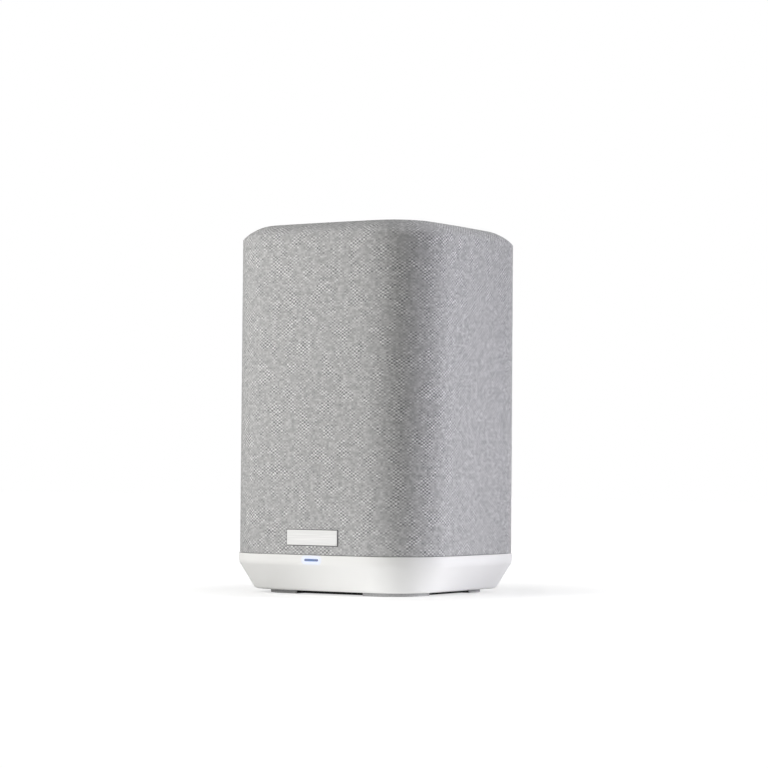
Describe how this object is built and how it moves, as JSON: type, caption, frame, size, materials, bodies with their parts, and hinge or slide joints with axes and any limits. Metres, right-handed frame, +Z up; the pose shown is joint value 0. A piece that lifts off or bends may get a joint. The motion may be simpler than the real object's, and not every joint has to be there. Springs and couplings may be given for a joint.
{
  "type": "smart speaker",
  "caption": "Compact fabric-covered wireless speaker column on a tapered white base, with a front status light, touch top and rear socket recess.",
  "frame": {"origin": "centre of the underside, on the plane the feet stand on", "axes": "+Z up, -Y out of the front with the light, +X towards the right side seen from the front"},
  "size_m": [0.12, 0.1208, 0.187],
  "materials": {
    "cover_fabric": "knitted two-tone light grey cloth",
    "sleeve_plastic": "moulded, fine grain",
    "white_plastic": "fine satin",
    "panel_white": "satin touch surface",
    "sign_guide": "translucent light guide",
    "dark_plastic": "fine grain",
    "foot_rubber": "soft matt grey",
    "silver_plate": "bright satin",
    "status_light": "lit blue light pipe",
    "steel": "zinc plated",
    "ferrite": "sintered, dark",
    "copper_wire": "enamelled winding",
    "brass_insert": "turned",
    "heatsink": "extruded, natural",
    "circuit_board": "green solder mask",
    "felt": "thick grey felt",
    "seal_rubber": "soft black",
    "spider_cloth": "treated cotton",
    "cone_pulp": "coated paper pulp",
    "dome_silk": "coated silk",
    "button_plastic": "fine satin",
    "wire_jacket": "soft PVC sleeve"
  },
  "bodies": {
    "housing": {"fabric_sleeve": "cover_fabric", "grille_frame": "sleeve_plastic", "rear_frame": "sleeve_plastic", "base_shell": "white_plastic", "bottom_plate": "dark_plastic", "foot_ring": "foot_rubber", "badge": "silver_plate", "status_light_pipe": "status_light", "status_led_board": "circuit_board", "top_trim_ring": "white_plastic", "top_panel": "panel_white", "legend_light_guide": "sign_guide", "touch_board": "circuit_board", "top_carrier": "dark_plastic", "cabinet_body": "dark_plastic", "cabinet_front": "dark_plastic", "cabinet_gasket": "seal_rubber", "cabinet_screws": "steel", "damping_pad": "felt", "bass_port": "dark_plastic", "mount_insert": "brass_insert", "mount_trim": "white_plastic", "base_screws": "steel", "woofer_basket": "dark_plastic", "woofer_top_plate": "steel", "woofer_magnet": "ferrite", "woofer_yoke": "steel", "woofer_gasket": "seal_rubber", "driver_screws": "steel", "tweeter_faceplate": "dark_plastic", "tweeter_pole_plate": "steel", "tweeter_magnet": "ferrite", "tweeter_yoke": "steel", "main_board": "circuit_board", "shield_can": "steel", "amp_heatsink": "heatsink", "rear_panel": "dark_plastic", "recess_frame": "dark_plastic", "power_inlet": "dark_plastic", "inlet_pins": "steel", "network_jack": "steel", "media_port": "steel", "aux_jack": "dark_plastic", "power_board": "circuit_board", "board_screws": "steel", "ribbon_cable": "wire_jacket", "speaker_leads": "wire_jacket", "mains_lead": "wire_jacket"},
    "woofer_motion": {"woofer_cone": "cone_pulp", "woofer_dust_cap": "cone_pulp", "woofer_coil": "copper_wire", "woofer_surround": "seal_rubber", "woofer_spider": "spider_cloth"},
    "tweeter_motion": {"tweeter_dome": "dome_silk", "tweeter_coil": "copper_wire", "tweeter_surround": "dome_silk"},
    "connect_key": {"connect_button": "button_plastic"},
    "pairing_key": {"pairing_button": "button_plastic"},
    "reset_key": {"reset_plunger": "dark_plastic"}
  },
  "joints": [
    {"name": "woofer_excursion", "type": "slide", "parent": "housing", "child": "woofer_motion", "axis": [0, -1, 0], "range_m": [-0.0035, 0.0035], "stiffness_N_per_m": 900, "deforming": ["woofer_surround", "woofer_spider"]},
    {"name": "tweeter_excursion", "type": "slide", "parent": "housing", "child": "tweeter_motion", "axis": [0, -1, 0], "range_m": [-0.0003, 0.0003], "stiffness_N_per_m": 1500, "deforming": ["tweeter_surround"]},
    {"name": "connect_press", "type": "slide", "parent": "housing", "child": "connect_key", "axis": [0, -1, 0], "range_m": [0, 0.0005], "stiffness_N_per_m": 1500, "springref_m": -0.0005},
    {"name": "pairing_press", "type": "slide", "parent": "housing", "child": "pairing_key", "axis": [0, -1, 0], "range_m": [0, 0.0005], "stiffness_N_per_m": 1500, "springref_m": -0.0005},
    {"name": "reset_press", "type": "slide", "parent": "housing", "child": "reset_key", "axis": [0, -1, 0], "range_m": [0, 0.00025], "stiffness_N_per_m": 1000, "springref_m": -0.0005}
  ]
}
